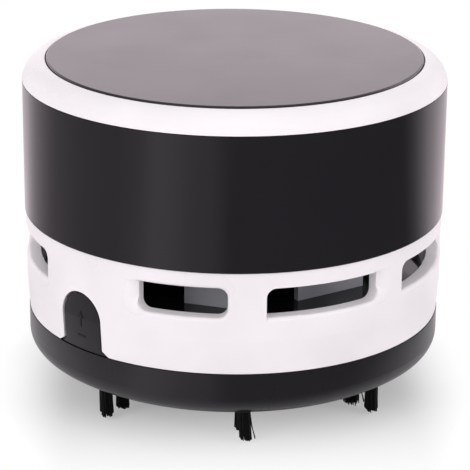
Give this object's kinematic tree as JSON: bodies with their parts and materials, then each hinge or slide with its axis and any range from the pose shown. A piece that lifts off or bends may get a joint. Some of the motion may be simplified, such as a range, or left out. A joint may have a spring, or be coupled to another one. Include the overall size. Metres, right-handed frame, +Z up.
{
  "type": "desktop mini vacuum cleaner",
  "caption": "Palm-sized round battery vacuum for a desk: lift-off dust tray on bristle tufts, slotted vent ring, fan and motor inside, lift-off lid.",
  "frame": {"origin": "on the desk, under the middle of the object, at the level of the bristle tips", "axes": "+Z up along the fan's axis; -Y towards the front pillar between two exhaust slots, +Y towards the power switch"},
  "size_m": [0.085, 0.085, 0.0693],
  "materials": {
    "black_plastic": "satin moulded ABS",
    "top_plastic": "smooth satin ABS",
    "white_plastic": "smooth semi-gloss ABS",
    "grey_plastic": "satin moulded ABS",
    "red_lead": "PVC insulation",
    "black_lead": "PVC insulation",
    "dark_plastic": "moulded ABS",
    "bristle": "nylon bristle",
    "filter_frame": "moulded polypropylene",
    "filter_mesh": "woven nylon mesh",
    "foam": "closed-cell foam",
    "motor_steel": "plated steel",
    "nylon": "natural nylon",
    "brass": "plain",
    "steel": "zinc plated",
    "nickel": "nickel plated",
    "cell_wrap": "shrink wrap over a metal can"
  },
  "bodies": {
    "base": {"base_tray": "black_plastic", "inner_bristle_tufts": "bristle", "outer_bristle_tufts": "bristle"},
    "housing": {"vent_shell": "white_plastic", "upper_shell": "black_plastic", "diffuser_deck": "dark_plastic", "diffuser_vanes": "grey_plastic", "filter_frame": "filter_frame", "filter_mesh": "filter_mesh", "filter_seal": "foam", "motor_can": "motor_steel", "motor_end_bell": "nylon", "motor_terminals": "brass", "motor_damper": "foam", "battery_holder": "dark_plastic", "battery_cells": "cell_wrap", "contact_springs": "nickel", "contact_plates": "nickel", "contact_bridge": "nickel", "red_leads": "red_lead", "black_lead": "black_lead", "switch_body": "dark_plastic", "switch_screws": "steel", "deck_screws": "steel", "holder_screws": "steel", "tab_spring": "steel"},
    "lid": {"lid_cap": "white_plastic", "top_disc": "top_plastic"},
    "fan": {"impeller": "dark_plastic", "motor_shaft": "steel"},
    "tab": {"release_tab": "black_plastic"},
    "knob": {"switch_knob": "black_plastic"}
  },
  "joints": [
    {"name": "housing_lift", "type": "slide", "parent": "base", "child": "housing", "axis": [0, 0, 1], "range_m": [0, 0.03]},
    {"name": "lid_lift", "type": "slide", "parent": "housing", "child": "lid", "axis": [0, 0, 1], "range_m": [0, 0.03]},
    {"name": "fan_spin", "type": "hinge", "parent": "housing", "child": "fan", "pos_m": [0, 0, 0.03], "axis": [0, 0, 1], "continuous": true},
    {"name": "tab_press", "type": "slide", "parent": "housing", "child": "tab", "axis": [0.7455, 0.6665, 0], "range_m": [0, 0.0012], "stiffness_N_per_m": 400, "springref_m": -0.001, "deforming": ["tab_spring"]},
    {"name": "switch_slide", "type": "slide", "parent": "housing", "child": "knob", "axis": [1, 0, 0], "range_m": [0, 0.004]}
  ]
}
